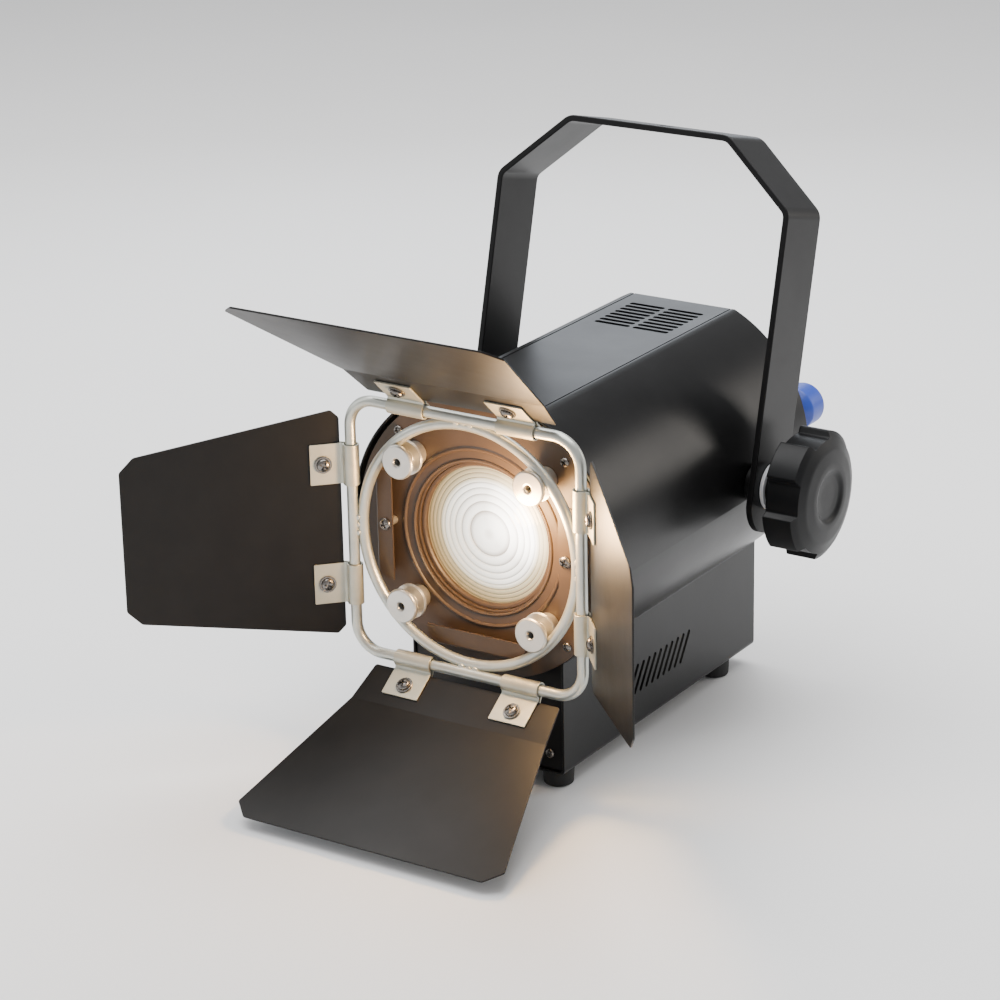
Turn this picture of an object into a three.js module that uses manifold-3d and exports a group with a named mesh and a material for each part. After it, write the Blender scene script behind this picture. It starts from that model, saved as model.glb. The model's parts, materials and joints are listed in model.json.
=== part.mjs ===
// A small LED fresnel spotlight with a four-leaf barn door, standing on its base box.
// Millimetres, +Z up. The lens axis runs along Y and the light leaves towards -Y.
// The pieces are drawn with the origin on the lens axis, in the plane of the barn door's wire
// frame. The last lines stand the whole light on its feet, centred over the origin.
import * as THREE from "three";
import { mergeVertices } from "three/addons/utils/BufferGeometryUtils.js";
import Module from "manifold-3d";

const wasm = await Module();
wasm.setup();

// ---- Driving dimensions ----
const gap = 0.3; // kept between two pieces that touch
const degree = Math.PI / 180;

// Housing
const sheet = 1.6; // thickness of the housing's sheet metal
const shellRadius = 94;
const shellTop = 85.5; // height of the flat top above the lens axis
const shellFront = 18;
const shellRear = 262;
const shellLip = -6 * degree; // how far the upper shell comes down its sides
const cradleRadius = 90.5; // lower body, tucked inside the upper shell
const cradleLip = 8 * degree;
const baseHalfWidth = 55;
const baseBottom = -146.3;
const plateY = 19; // front plate's outer face
const lowerBodyFront = plateY + sheet + gap;
const rearPanelY = 259;
const footRadius = 10;
const footHeight = 11.4;
const footX = 42;
const footFrontY = 35;
const footRearY = 231;

// Vents
const topSlots = { count: 8, firstY: 194.4, pitch: 6.36, width: 3.9, innerX: 1.3, length: 25.8 };
const rearSlots = { count: 6, highestZ: -28, pitch: 6.4, half: 27, height: 2.6 };
const sideSlits = { count: 10, firstY: 97, pitch: 7.2, width: 3, bottomZ: -124, height: 20, lean: 11 };

// Lens
const lensRadius = 46.8;
const tubeInner = 47.1;
const tubeOuter = 49.1;
const tubeRear = 58;
const lensFront = 26;
const lensRear = 36;
const lensRings = 10; // of equal area, counting the middle
const lensStep = 2;
const embossRadius = 56.6;

// Runners for a colour frame of about 135 mm
const runner = {
  sheet: 1.2, bladeY: 10.2, footY: 18.1, // its front blade and its foot on the front plate
  inner: 59.8, web: 71, footEnd: 66, // distances to the lens axis
  half: 36, taper: 3,
};

// Barn door frame and the spools that carry it
const wireRadius = 3.5;
const frameHalf = 82; // wire centre line to the lens axis
const frameCorner = 18;
const ringRadius = 76.8;
const ringY = 3.3;
const spoolOffset = 46.7;
const spoolRadius = 11;

// Barn door leaves
const leafSheet = 1.2;
const leafOffset = -4.8; // leaf's middle plane, behind the wire's centre
const leafEdge = 6; // leaf's hinge edge, outside the wire's centre
const tallLeaf = {
  strip: 26.5, panel: 105.5, fold: 8.8 * degree, inner: 67, middle: 70.5, outer: 95.5, chamfer: 10,
};
const sideLeaf = { strip: 60, panel: 75.3, fold: 0, inner: 73, middle: 64.4, outer: 54, chamfer: 9 };
const hingeChamfer = 5; // cut off the side leaves' corners next to the wire
const clipWidth = 26;
const clipSheet = 1;
const clipSpacing = 39; // clip centres to the leaf's middle
const clipReach = 25;
const leafScrewReach = 17;
const leafOpening = { top: 47.2, right: 49, bottom: 55.6, left: 45.9 }; // degrees forward of flat open

// Yoke and its pivots
const pivotY = 186.5;
const yokeLean = 14.3 * degree;
const yokeSheet = 4;
const yokeWidth = 44.4;
const yokeHalf = 106.6; // outer faces of the arms
const yokeShoulder = 171.2;
const yokeTopHalf = 57.5;
const yokeTop = 214;
const yokeFootDrop = 30;
const clampHoleRadius = 5.5;
const studRadius = 5;
const studHole = 5.3;
const knobRadius = 41;
const knobRoot = 36.5; // radius between two lobes
const knobLobes = 5;
const knobLobeWidth = 36 * degree;
const knobTurn = 47.5 * degree; // first lobe, up from the front
const knobBack = 122.5;
const knobShoulder = 141; // where the face starts to round off
const knobFace = 149;

// Light source carriage and its focus screw
const carriageY = 128;
const rodX = 58;
const rodZ = -20;
const rodRadius = 4;
const screwX = 77;
const screwZ = 20;
const screwRadius = 4;
const focusKnobRadius = 14;
const focusKnobFront = 268;
const focusKnobRear = 292;

// ---- Finishes ----
function finish(color, roughness, metalness) {
  return new THREE.MeshStandardMaterial({ color, roughness, metalness });
}

const blackCoat = finish(0x111113, 0.42, 0.2);
const leafCoat = finish(0x141210, 0.6, 0.2);
const brightWire = finish(0xc9c9c6, 0.3, 1);
const zincPlate = finish(0xb9b3a5, 0.4, 1);
const aluminium = finish(0xcfd0d2, 0.35, 1);
const blackRubber = finish(0x101010, 0.9, 0);
const blackPlastic = finish(0x161617, 0.6, 0);
const bluePlastic = finish(0x3a55b8, 0.5, 0);
const clearGlass = finish(0xfff3dc, 0.08, 0);
const whiteBoard = finish(0xe8e4d8, 0.5, 0);

// ---- Solids ----
function manifoldOf(geometry) {
  const bare = geometry.clone();
  bare.deleteAttribute("normal");
  bare.deleteAttribute("uv");
  const merged = mergeVertices(bare, 1e-4);
  const vertProperties = merged.attributes.position.array;
  const triVerts = new Uint32Array(merged.index.array);
  return new wasm.Manifold(new wasm.Mesh({ numProp: 3, vertProperties, triVerts }));
}

function geometryOf(manifold) {
  const mesh = manifold.getMesh();
  const geometry = new THREE.BufferGeometry();
  geometry.setAttribute("position", new THREE.BufferAttribute(mesh.vertProperties, 3));
  geometry.setIndex(new THREE.BufferAttribute(mesh.triVerts, 1));
  geometry.computeVertexNormals();
  return geometry;
}

function cut(geometry, tools) {
  return geometryOf(tools.reduce((left, tool) => left.subtract(manifoldOf(tool)), manifoldOf(geometry)));
}

function join(geometries) {
  return geometryOf(geometries.map(manifoldOf).reduce((whole, next) => whole.add(next)));
}

function common(a, b) {
  return geometryOf(manifoldOf(a).intersect(manifoldOf(b)));
}

// A shape drawn as (x, z) and extruded along Y from y0 to y1.
function prismY(shape, y0, y1, curveSegments = 16) {
  const options = { depth: y1 - y0, bevelEnabled: false, curveSegments };
  return new THREE.ExtrudeGeometry(shape, options).rotateX(Math.PI / 2).translate(0, y1, 0);
}

// A shape drawn as (y, z) and extruded along X from x0 to x1.
function prismX(shape, x0, x1, curveSegments = 16) {
  const options = { depth: x1 - x0, bevelEnabled: false, curveSegments };
  const solid = new THREE.ExtrudeGeometry(shape, options);
  return solid.rotateX(Math.PI / 2).rotateZ(Math.PI / 2).translate(x0, 0, 0);
}

// A block between two corners.
function block(low, high) {
  const [width, depth, height] = high.map((value, axis) => value - low[axis]);
  const middle = high.map((value, axis) => (value + low[axis]) / 2);
  return new THREE.BoxGeometry(width, depth, height).translate(...middle);
}

// A solid turned about the Y axis from [radius, y] points. The profile starts and ends on the
// axis, or closes on itself.
function turned(points, segments = 24) {
  return new THREE.LatheGeometry(points.map(([radius, y]) => new THREE.Vector2(radius, y)), segments);
}

// A washer, tube or bush about the Y axis.
function tubeY(inner, outer, y0, y1, segments = 24) {
  return turned([[inner, y0], [outer, y0], [outer, y1], [inner, y1], [inner, y0]], segments);
}

function rodY(radius, y0, y1, segments = 16) {
  return turned([[0, y0], [radius, y0], [radius, y1], [0, y1]], segments);
}

// Turns a solid that lies along Y so that it lies along X or Z.
function alongX(geometry) {
  return geometry.rotateZ(-Math.PI / 2);
}

function alongZ(geometry) {
  return geometry.rotateX(Math.PI / 2);
}

// Points on an arc about the origin.
function arcPoints(radius, from, to, step = 6 * degree) {
  const count = Math.max(1, Math.round(Math.abs(to - from) / step));
  return Array.from({ length: count + 1 }, (_, i) => {
    const angle = from + ((to - from) * i) / count;
    return new THREE.Vector2(radius * Math.cos(angle), radius * Math.sin(angle));
  });
}

// The outline of a strip of even thickness bent along a line of points.
function stripOutline(path, thickness) {
  const sides = [1, -1].map((side) =>
    path.map((point, i) => {
      const before = point.clone().sub(path[Math.max(i - 1, 0)]).normalize();
      const after = path[Math.min(i + 1, path.length - 1)].clone().sub(point).normalize();
      const along = before.clone().add(after).normalize();
      const square = new THREE.Vector2(-along.y, along.x);
      const squeeze = i === 0 || i === path.length - 1 ? 1 : Math.sqrt((1 + before.dot(after)) / 2);
      return point.clone().addScaledVector(square, (side * thickness) / 2 / squeeze);
    }),
  );
  return new THREE.Shape([...sides[0], ...sides[1].reverse()]);
}

function mirrored(path) {
  return path.map((point) => new THREE.Vector2(-point.x, point.y)).reverse();
}

function polygon(points) {
  return new THREE.Shape(points.map(([x, y]) => new THREE.Vector2(x, y)));
}

function circleHole(x, y, radius) {
  return new THREE.Path().absarc(x, y, radius, 0, 2 * Math.PI, true);
}

function mesh(name, geometry, material) {
  const made = new THREE.Mesh(geometry, material);
  made.name = name;
  return made;
}

function groupOf(...parts) {
  const group = new THREE.Group();
  group.add(...parts.flat());
  return group;
}

// ---- Housing ----
function studHoles() {
  return [alongX(rodY(studHole, -120, 120)).translate(0, pivotY, 0)];
}

function upperShell() {
  const radius = shellRadius - sheet / 2;
  const flat = Math.asin((shellTop - sheet / 2) / radius);
  const side = arcPoints(radius, shellLip, flat);
  const body = prismY(stripOutline([...side, ...mirrored(side)], sheet), shellFront, shellRear);
  const slots = [];
  for (let i = 0; i < topSlots.count; i++) {
    const y = topSlots.firstY + i * topSlots.pitch;
    const end = topSlots.innerX + topSlots.length;
    slots.push(block([topSlots.innerX, y, 60], [end, y + topSlots.width, 100]));
    slots.push(block([-end, y, 60], [-topSlots.innerX, y + topSlots.width, 100]));
  }
  return mesh("upper_shell", cut(body, [...slots, ...studHoles()]), blackCoat);
}

// Half of the lower body's section, from its lip down to the middle of the bottom.
function lowerBodySide() {
  const radius = cradleRadius - sheet / 2;
  const crease = -Math.acos((baseHalfWidth - sheet / 2) / radius);
  const bottomCorner = new THREE.Vector2(baseHalfWidth - sheet / 2, baseBottom + sheet / 2);
  return [...arcPoints(radius, cradleLip, crease), bottomCorner];
}

function lowerBody() {
  const side = lowerBodySide();
  const body = prismY(stripOutline([...side, ...mirrored(side)], sheet), lowerBodyFront, shellRear);
  const slits = [];
  for (let i = 0; i < sideSlits.count; i++) {
    const y = sideSlits.firstY + i * sideSlits.pitch;
    const top = sideSlits.bottomZ + sideSlits.height;
    const slit = polygon([
      [y, sideSlits.bottomZ],
      [y + sideSlits.width, sideSlits.bottomZ],
      [y + sideSlits.width + sideSlits.lean, top],
      [y + sideSlits.lean, top],
    ]);
    slits.push(prismX(slit, -70, 70));
  }
  return mesh("lower_body", cut(body, [...slits, ...studHoles()]), blackCoat);
}

// A disc with the housing's flat top.
function flatToppedDisc(radius, top) {
  const flat = Math.asin(top / radius);
  const shape = new THREE.Shape();
  shape.absarc(0, 0, radius, Math.PI - flat, 2 * Math.PI + flat, false);
  return shape;
}

function frontPlate() {
  const shape = flatToppedDisc(cradleRadius - gap, shellTop - sheet - 3 * gap);
  shape.holes.push(circleHole(0, 0, tubeInner + 1.4));
  const disc = prismY(shape, plateY, plateY + sheet, 20);
  const emboss = tubeY(embossRadius - 1.2, embossRadius + 1.2, plateY - 1.2, plateY + sheet / 2, 40);
  return mesh("front_plate", join([disc, emboss]), blackCoat);
}

function rearPanel() {
  const radius = cradleRadius - sheet - gap;
  const flat = Math.asin((shellTop - sheet - 3 * gap) / radius);
  const baseHalf = baseHalfWidth - sheet - gap;
  const crease = Math.acos(baseHalf / radius);
  const shape = new THREE.Shape();
  shape.absarc(0, 0, radius, -crease, flat, false);
  shape.absarc(0, 0, radius, Math.PI - flat, Math.PI + crease, false);
  shape.lineTo(-baseHalf, baseBottom + sheet + gap);
  shape.lineTo(baseHalf, baseBottom + sheet + gap);
  shape.holes.push(circleHole(screwX, screwZ, screwRadius + gap));
  shape.holes.push(rectangle(-14, -126, 14, -104, THREE.Path));
  for (let i = 0; i < rearSlots.count; i++) {
    const z = rearSlots.highestZ - i * rearSlots.pitch;
    const [low, high] = [z - rearSlots.height / 2, z + rearSlots.height / 2];
    shape.holes.push(rectangle(-rearSlots.half, low, rearSlots.half, high, THREE.Path));
  }
  return mesh("rear_panel", prismY(shape, rearPanelY, rearPanelY + sheet, 12), blackCoat);
}

function rectangle(x0, y0, x1, y1, Kind = THREE.Shape) {
  return new Kind([[x0, y0], [x1, y0], [x1, y1], [x0, y1]].map(([x, y]) => new THREE.Vector2(x, y)));
}

// The base's front, behind the front plate, with a lip turned back along its top edge.
function baseFrontPanel() {
  const half = baseHalfWidth - sheet - gap;
  const front = lowerBodyFront + sheet;
  const panel = block([-half, front, baseBottom + sheet + gap], [half, front + sheet, -62]);
  const lip = block([-half + 4, front, -62 - sheet], [half - 4, front + 12, -62]);
  return mesh("base_front_panel", join([panel, lip]), blackCoat);
}

function feet() {
  const made = [];
  for (const [sideName, side] of [["left", -1], ["right", 1]]) {
    for (const [endName, y] of [["front", footFrontY], ["rear", footRearY]]) {
      const top = baseBottom - gap;
      const profile = [[0, -footHeight], [footRadius - 1, -footHeight], [footRadius, 0], [0, 0]];
      const foot = mesh(`foot_${endName}_${sideName}`, alongZ(turned(profile)), blackRubber);
      foot.position.set(side * footX, y, top);
      made.push(foot);
    }
  }
  return made;
}

// ---- Lens ----
function lensTube() {
  const flangeFront = plateY + sheet + gap;
  const profile = [
    [tubeInner, flangeFront], [54, flangeFront], [54, flangeFront + 1.6],
    [tubeOuter, flangeFront + 1.6], [tubeOuter, tubeRear], [tubeInner - 3, tubeRear],
    [tubeInner - 3, lensRear + gap], [tubeInner, lensRear + gap], [tubeInner, flangeFront],
  ];
  return mesh("lens_tube", turned(profile, 40), blackCoat);
}

function lensRetainer() {
  const ring = tubeY(tubeInner - 3.2, tubeInner - gap, lensFront - 3.3, lensFront - gap, 40);
  return mesh("lens_retaining_ring", ring, aluminium);
}

// Concentric steps on the front, each sloping back from its crest, and a flat rear face.
function fresnelLens() {
  const crest = (ring) => lensRadius * Math.sqrt(ring / lensRings);
  const profile = [[0, lensRear], [lensRadius, lensRear]];
  for (let ring = lensRings - 1; ring > 0; ring--) {
    profile.push([crest(ring + 1), lensFront + lensStep]);
    profile.push([crest(ring) + 0.3, lensFront]);
  }
  profile.push([crest(1), lensFront + lensStep], [crest(1) / 2, lensFront + 0.5], [0, lensFront]);
  return mesh("fresnel_lens", turned(profile.reverse(), 32), clearGlass);
}

// A channel that holds one edge of a colour frame, its front blade cut back at both ends.
// Drawn for the bottom, then turned.
function gelRunner(name, turn) {
  const { bladeY, footY, inner, web, footEnd, half, taper } = runner;
  const path = [[bladeY, -inner], [bladeY, -web], [footY, -web], [footY, -footEnd]];
  const section = stripOutline(path.map(([y, z]) => new THREE.Vector2(y, z)), runner.sheet);
  const outline = polygon([
    [-half, -inner + 1], [-half, -inner], [-half + taper, -web - 1],
    [half - taper, -web - 1], [half, -inner], [half, -inner + 1],
  ]);
  const channel = common(prismX(section, -half, half), prismY(outline, 0, plateY));
  return mesh(name, channel.rotateY(turn), blackCoat);
}

// A spool on the front plate, with a groove that the barn door's ring turns in.
function ringSpool(name, x, z) {
  const flange = 2.5;
  const neck = 5.5;
  const barrel = 7.6;
  const bore = 2;
  const grooveFront = ringY - wireRadius - gap;
  const grooveRear = ringY + wireRadius + gap;
  const profile = [
    [bore, grooveFront - flange], [spoolRadius, grooveFront - flange], [spoolRadius, grooveFront],
    [neck, grooveFront], [neck, grooveRear], [spoolRadius, grooveRear],
    [spoolRadius, grooveRear + flange], [barrel, grooveRear + flange], [barrel, plateY - gap],
    [bore, plateY - gap], [bore, grooveFront - flange],
  ];
  const spool = mesh(name, turned(profile, 16), aluminium);
  spool.position.set(x, 0, z);
  return spool;
}

function ringSpools() {
  const made = [];
  for (const [level, z] of [["upper", spoolOffset], ["lower", -spoolOffset]]) {
    made.push(ringSpool(`ring_spool_${level}_left`, -spoolOffset, z));
    made.push(ringSpool(`ring_spool_${level}_right`, spoolOffset, z));
  }
  return made;
}

// ---- Inside the housing and on its rear ----
function guideRod(name, x) {
  const rod = mesh(name, rodY(rodRadius, plateY + sheet + gap, rearPanelY - gap, 12), aluminium);
  rod.position.set(x, 0, rodZ);
  return rod;
}

function ledDriver() {
  const shape = polygon([[-40, -141], [-40, -106], [-37, -103], [37, -103], [40, -106], [40, -141]]);
  const body = prismY(shape, 60, 200);
  const ears = block([-30, 50, -141], [30, 210, -139]);
  return mesh("led_driver", join([body, ears]), zincPlate);
}

// A recessed appliance inlet with a flange, its body reaching through the rear panel.
function powerInlet() {
  const middle = -115;
  const panelRear = rearPanelY + sheet + gap;
  const flange = block([-25, panelRear, middle - 14], [25, panelRear + 3, middle + 14]);
  const body = block([-13.5, 236, middle - 10.5], [13.5, panelRear + 1, middle + 10.5]);
  const recess = block([-11.5, 242, middle - 8], [11.5, panelRear + 10, middle + 8]);
  const pins = [-7, 0, 7].map((x) => block([x - 1, 240, middle - 2.5], [x + 1, 257, middle + 2.5]));
  return mesh("power_inlet", join([cut(join([flange, body]), [recess]), ...pins]), blackPlastic);
}

// A bent wire loop for the safety cable.
function safetyLoop() {
  const half = 13;
  const bow = arcPoints(half, Math.PI, 0, 30 * degree);
  const points = [[-half, 0], [-half, 5], ...bow.map((p) => [p.x, p.y + 9]), [half, 5], [half, 0]];
  const path = new THREE.CatmullRomCurve3(points.map(([x, y]) => new THREE.Vector3(x, y, 0)));
  const section = new THREE.Shape().absarc(0, 0, 2.5, 0, 2 * Math.PI, false);
  const loop = new THREE.ExtrudeGeometry(section, { extrudePath: path, steps: 18, curveSegments: 4 });
  const placed = mesh("safety_loop", loop, brightWire);
  placed.position.set(0, rearPanelY + sheet + gap, 58);
  return placed;
}

function focusBushing() {
  const profile = [
    [screwRadius + gap, 0], [9.5, 0], [9.5, 3], [8, 6.2], [screwRadius + gap, 6.2], [screwRadius + gap, 0],
  ];
  const bushing = mesh("focus_bushing", turned(profile, 20), blackPlastic);
  bushing.position.set(screwX, rearPanelY + sheet + gap, screwZ);
  return bushing;
}

function pivotNut(name) {
  const inner = cradleRadius - sheet - 1;
  const hexagon = rodY(8.5, inner - 6, inner, 6);
  const nut = cut(hexagon, [rodY(studHole, inner - 10, inner + 4)]);
  return mesh(name, alongX(nut), zincPlate);
}

function yokeSpacer(name) {
  const bush = tubeY(studHole, 12, shellRadius + gap, yokeHalf - yokeSheet - gap, 20);
  return mesh(name, alongX(bush), zincPlate);
}

// The plain pivot on the left: a domed head outside the yoke and a stud into the housing.
function pivotBolt() {
  const face = yokeHalf + gap;
  const profile = [
    [0, 82], [studRadius, 82], [studRadius, face], [13, face], [13, face + 2], [9, face + 2],
    [8, face + 6], [4, face + 7.5], [0, face + 7.5],
  ];
  return mesh("pivot_bolt", turned(profile, 20).rotateZ(Math.PI / 2), zincPlate);
}

function pivotHardware() {
  const hardware = groupOf(
    pivotBolt(),
    pairOf("pivot_nut", pivotNut),
    pairOf("yoke_spacer", yokeSpacer),
  );
  hardware.position.y = pivotY;
  return hardware;
}

// The same piece on both sides, the left one turned half round the lens axis.
function pairOf(name, make) {
  const left = make(`${name}_left`);
  left.rotation.z = Math.PI;
  return [left, make(`${name}_right`)];
}

// ---- Light source carriage ----
function carriagePlate() {
  const shape = polygon([
    [-66, -46], [66, -46], [66, 12], [82.5, 12], [82.5, 28], [66, 28], [66, 46], [-66, 46],
  ]);
  shape.holes.push(circleHole(-rodX, rodZ, rodRadius + gap), circleHole(rodX, rodZ, rodRadius + gap));
  shape.holes.push(circleHole(screwX, screwZ, screwRadius + gap));
  return mesh("carriage_plate", prismY(shape, carriageY, carriageY + 3, 6), aluminium);
}

function heatSink() {
  const half = 45;
  const fins = 9;
  const back = carriageY + 3 + gap;
  const parts = [block([-half, back, -half], [half, back + 8, half])];
  for (let i = 0; i < fins; i++) {
    const x = -half + (i * (2 * half - 2.4)) / (fins - 1);
    parts.push(block([x, back + 6, -half], [x + 2.4, back + 52, half]));
  }
  return mesh("heat_sink", join(parts), aluminium);
}

function ledModule() {
  const board = carriageY - gap;
  const profile = [
    [0, board], [24, board], [24, board - 3], [8, board - 3], [8, board - 4.5], [0, board - 4.5],
  ];
  return mesh("led_module", turned(profile.reverse(), 24), whiteBoard);
}

function reflectorCup() {
  const rear = carriageY - 3 - 2 * gap;
  const depth = 28;
  const wall = [0, 0.2, 0.45, 0.7, 1];
  const inside = wall.map((t) => [10 + 20 * Math.sqrt(t), rear - depth * t]);
  const outside = inside.map(([radius, y]) => [radius + 1.4, y]).reverse();
  return mesh("reflector", turned([...inside, ...outside, inside[0]], 24), aluminium);
}

// ---- Focus screw ----
function focusSpindle() {
  const spindle = mesh("focus_spindle", rodY(screwRadius, 70, focusKnobRear - 6, 12), zincPlate);
  spindle.position.set(screwX, 0, screwZ);
  return spindle;
}

function focusKnob() {
  const bore = screwRadius + gap;
  const profile = [
    [bore, focusKnobFront], [10, focusKnobFront], [focusKnobRadius, focusKnobFront + 5],
    [focusKnobRadius, focusKnobRear - 4], [focusKnobRadius - 4, focusKnobRear], [0, focusKnobRear],
    [0, focusKnobRear - 5.5], [bore, focusKnobRear - 5.5], [bore, focusKnobFront],
  ];
  const knob = mesh("focus_knob", turned(profile, 24), bluePlastic);
  knob.position.set(screwX, 0, screwZ);
  return knob;
}

// ---- Yoke ----
function yoke() {
  const half = yokeHalf - yokeSheet / 2;
  const top = yokeTop - yokeSheet / 2;
  const arm = [[half, -yokeFootDrop], [half, yokeShoulder], [yokeTopHalf, top]];
  const side = arm.map(([x, z]) => new THREE.Vector2(x, z));
  const strap = prismY(stripOutline([...side, ...mirrored(side)], yokeSheet), -yokeWidth / 2, yokeWidth / 2);
  const outline = new THREE.Shape();
  outline.absarc(0, yokeWidth / 2 - yokeFootDrop, yokeWidth / 2, Math.PI, 2 * Math.PI, false);
  outline.lineTo(yokeWidth / 2, yokeTop + 10);
  outline.lineTo(-yokeWidth / 2, yokeTop + 10);
  const rounded = common(strap, prismX(outline, -yokeHalf - 5, yokeHalf + 5, 8));
  const clampHole = alongZ(rodY(clampHoleRadius, yokeTop - 20, yokeTop + 20));
  return mesh("yoke", cut(rounded, [alongX(rodY(studHole, -120, 120)), clampHole]), blackCoat);
}

// A lobed knob with a rounded face and a shallow dish, its hub and its stud.
function tiltKnob() {
  const lobe = (i) => knobTurn + (i * 2 * Math.PI) / knobLobes;
  const slope = 3 * degree;
  const outline = [];
  for (let i = 0; i < knobLobes; i++) {
    const [from, to] = [lobe(i) - knobLobeWidth / 2, lobe(i) + knobLobeWidth / 2];
    outline.push(...arcPoints(knobRadius, from, to));
    outline.push(...arcPoints(knobRoot, to + slope, lobe(i + 1) - knobLobeWidth / 2 - slope, 8 * degree));
  }
  const star = prismX(new THREE.Shape(outline.map((p) => new THREE.Vector2(-p.x, p.y))), knobBack, knobFace);
  const face = [
    [0, knobBack], [knobRadius + 1, knobBack], [knobRadius + 1, knobShoulder],
    [knobRadius - 3.5, knobShoulder + 4], [30, knobFace - 1.2], [20, knobFace], [17, knobFace],
    [14.5, knobFace - 1.8], [0, knobFace - 2],
  ];
  const hub = rodY(14, yokeHalf + 3.2, knobBack + 1, 20);
  const stud = rodY(studRadius, 82, knobBack + 1, 16);
  const body = common(star, alongX(turned(face, 40)));
  return mesh("tilt_knob", join([body, alongX(hub), alongX(stud)]), blackPlastic);
}

function knobWasher() {
  const washer = tubeY(studHole, 15, yokeHalf + gap, yokeHalf + 2.8, 24);
  return mesh("knob_washer", alongX(washer), whiteBoard);
}

function yokeAssembly() {
  const swinging = groupOf(yoke());
  swinging.rotation.x = -yokeLean;
  const assembly = groupOf(swinging, knobWasher(), tiltKnob());
  assembly.position.y = pivotY;
  return assembly;
}

// ---- Barn door ----
// A round wire bent to a square with round corners: a ring whose quarters are moved apart.
function squareWire() {
  const segments = 20;
  const ring = new THREE.TorusGeometry(frameCorner, wireRadius, 10, segments);
  ring.rotateZ(Math.PI / segments).rotateX(Math.PI / 2);
  const spread = frameHalf - frameCorner * Math.cos(Math.PI / segments);
  const position = ring.attributes.position;
  for (let i = 0; i < position.count; i++) {
    position.setX(i, position.getX(i) + spread * Math.sign(position.getX(i)));
    position.setZ(i, position.getZ(i) + spread * Math.sign(position.getZ(i)));
  }
  return ring;
}

function barndoorFrame() {
  const ring = new THREE.TorusGeometry(ringRadius, wireRadius, 10, 40).rotateX(Math.PI / 2);
  return mesh("barndoor_frame", join([squareWire(), ring.translate(0, ringY, 0)]), brightWire);
}

// Half of a leaf's outline in its own plane: [half width, distance out from the wire].
function leafOutline(leaf) {
  const end = leafEdge + leaf.strip + leaf.panel * Math.cos(leaf.fold);
  const corner = leaf === sideLeaf ? hingeChamfer : 0;
  const half = [
    [leaf.inner - corner, leafEdge], [leaf.inner, leafEdge + corner], [leaf.middle, leafEdge + leaf.strip],
    [leaf.outer, end - leaf.chamfer], [leaf.outer - leaf.chamfer, end + 2],
  ];
  const other = half.map(([x, y]) => [-x, y]).reverse();
  return polygon([...half, ...other]);
}

// Along X the wire, along Y outwards, along Z towards the light.
function leafSheetSolid(leaf) {
  const start = new THREE.Vector2(leafEdge, leafOffset);
  const fold = new THREE.Vector2(leafEdge + leaf.strip, leafOffset);
  const reach = new THREE.Vector2(Math.cos(leaf.fold), Math.sin(leaf.fold)).multiplyScalar(leaf.panel);
  const bent = prismX(stripOutline([start, fold, fold.clone().add(reach)], leafSheet), -110, 110);
  const outline = new THREE.ExtrudeGeometry(leafOutline(leaf), { depth: 60, bevelEnabled: false });
  return common(bent, outline.translate(0, 0, -20));
}

function screwHoles(radius) {
  return [-clipSpacing, clipSpacing].map((x) => leafScrewAxis(rodY(radius, -20, 20, 12), x));
}

// Stands a solid that was turned about Y on the leaf, at one clip's screw.
function leafScrewAxis(geometry, x) {
  return alongZ(geometry).translate(x, leafScrewReach, 0);
}

// A strap wrapped round the wire, its two legs on either side of the leaf.
function leafClip(name, x) {
  const wrap = wireRadius + 2 * gap + clipSheet / 2;
  const rearLeg = leafOffset - leafSheet / 2 - gap - clipSheet / 2;
  const frontLeg = leafOffset + leafSheet / 2 + gap + clipSheet / 2;
  const path = [
    new THREE.Vector2(clipReach, rearLeg),
    new THREE.Vector2(wrap + 1, rearLeg),
    ...arcPoints(wrap, -65 * degree, -385 * degree, 32 * degree),
    new THREE.Vector2(wrap + 1, frontLeg),
    new THREE.Vector2(clipReach, frontLeg),
  ];
  const strap = prismX(stripOutline(path, clipSheet), x - clipWidth / 2, x + clipWidth / 2);
  return mesh(name, cut(strap, screwHoles(2.4)), zincPlate);
}

// A pan head over a washer, a shank through clip and leaf, and a nut behind.
function leafScrew(name, x) {
  const face = leafOffset + leafSheet / 2 + clipSheet + 2 * gap;
  const back = leafOffset - leafSheet / 2 - clipSheet - 2 * gap;
  const shank = 1.8;
  const profile = [
    [0, back - 2.8], [3.6, back - 2.8], [3.6, back], [shank, back], [shank, face], [5.4, face],
    [4.6, face + 2.4], [2.8, face + 3.2], [0, face + 3.2],
  ];
  return mesh(name, leafScrewAxis(turned(profile, 10), x), zincPlate);
}

function leafAssembly(side, leaf, quarterTurns) {
  const parts = [mesh(`${side}_leaf`, cut(leafSheetSolid(leaf), screwHoles(2.4)), leafCoat)];
  for (const [clip, x] of [["a", -clipSpacing], ["b", clipSpacing]]) {
    parts.push(leafClip(`${side}_leaf_clip_${clip}`, x));
    parts.push(leafScrew(`${side}_leaf_screw_${clip}`, x));
  }
  const hinged = groupOf(parts);
  hinged.position.z = frameHalf;
  hinged.rotation.x = Math.PI / 2 + leafOpening[side] * degree;
  const turnedSide = groupOf(hinged);
  turnedSide.rotation.y = (quarterTurns * Math.PI) / 2;
  return turnedSide;
}

function barndoor() {
  return groupOf(
    barndoorFrame(),
    leafAssembly("top", tallLeaf, 0),
    leafAssembly("right", sideLeaf, 1),
    leafAssembly("bottom", tallLeaf, 2),
    leafAssembly("left", sideLeaf, 3),
  );
}

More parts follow.
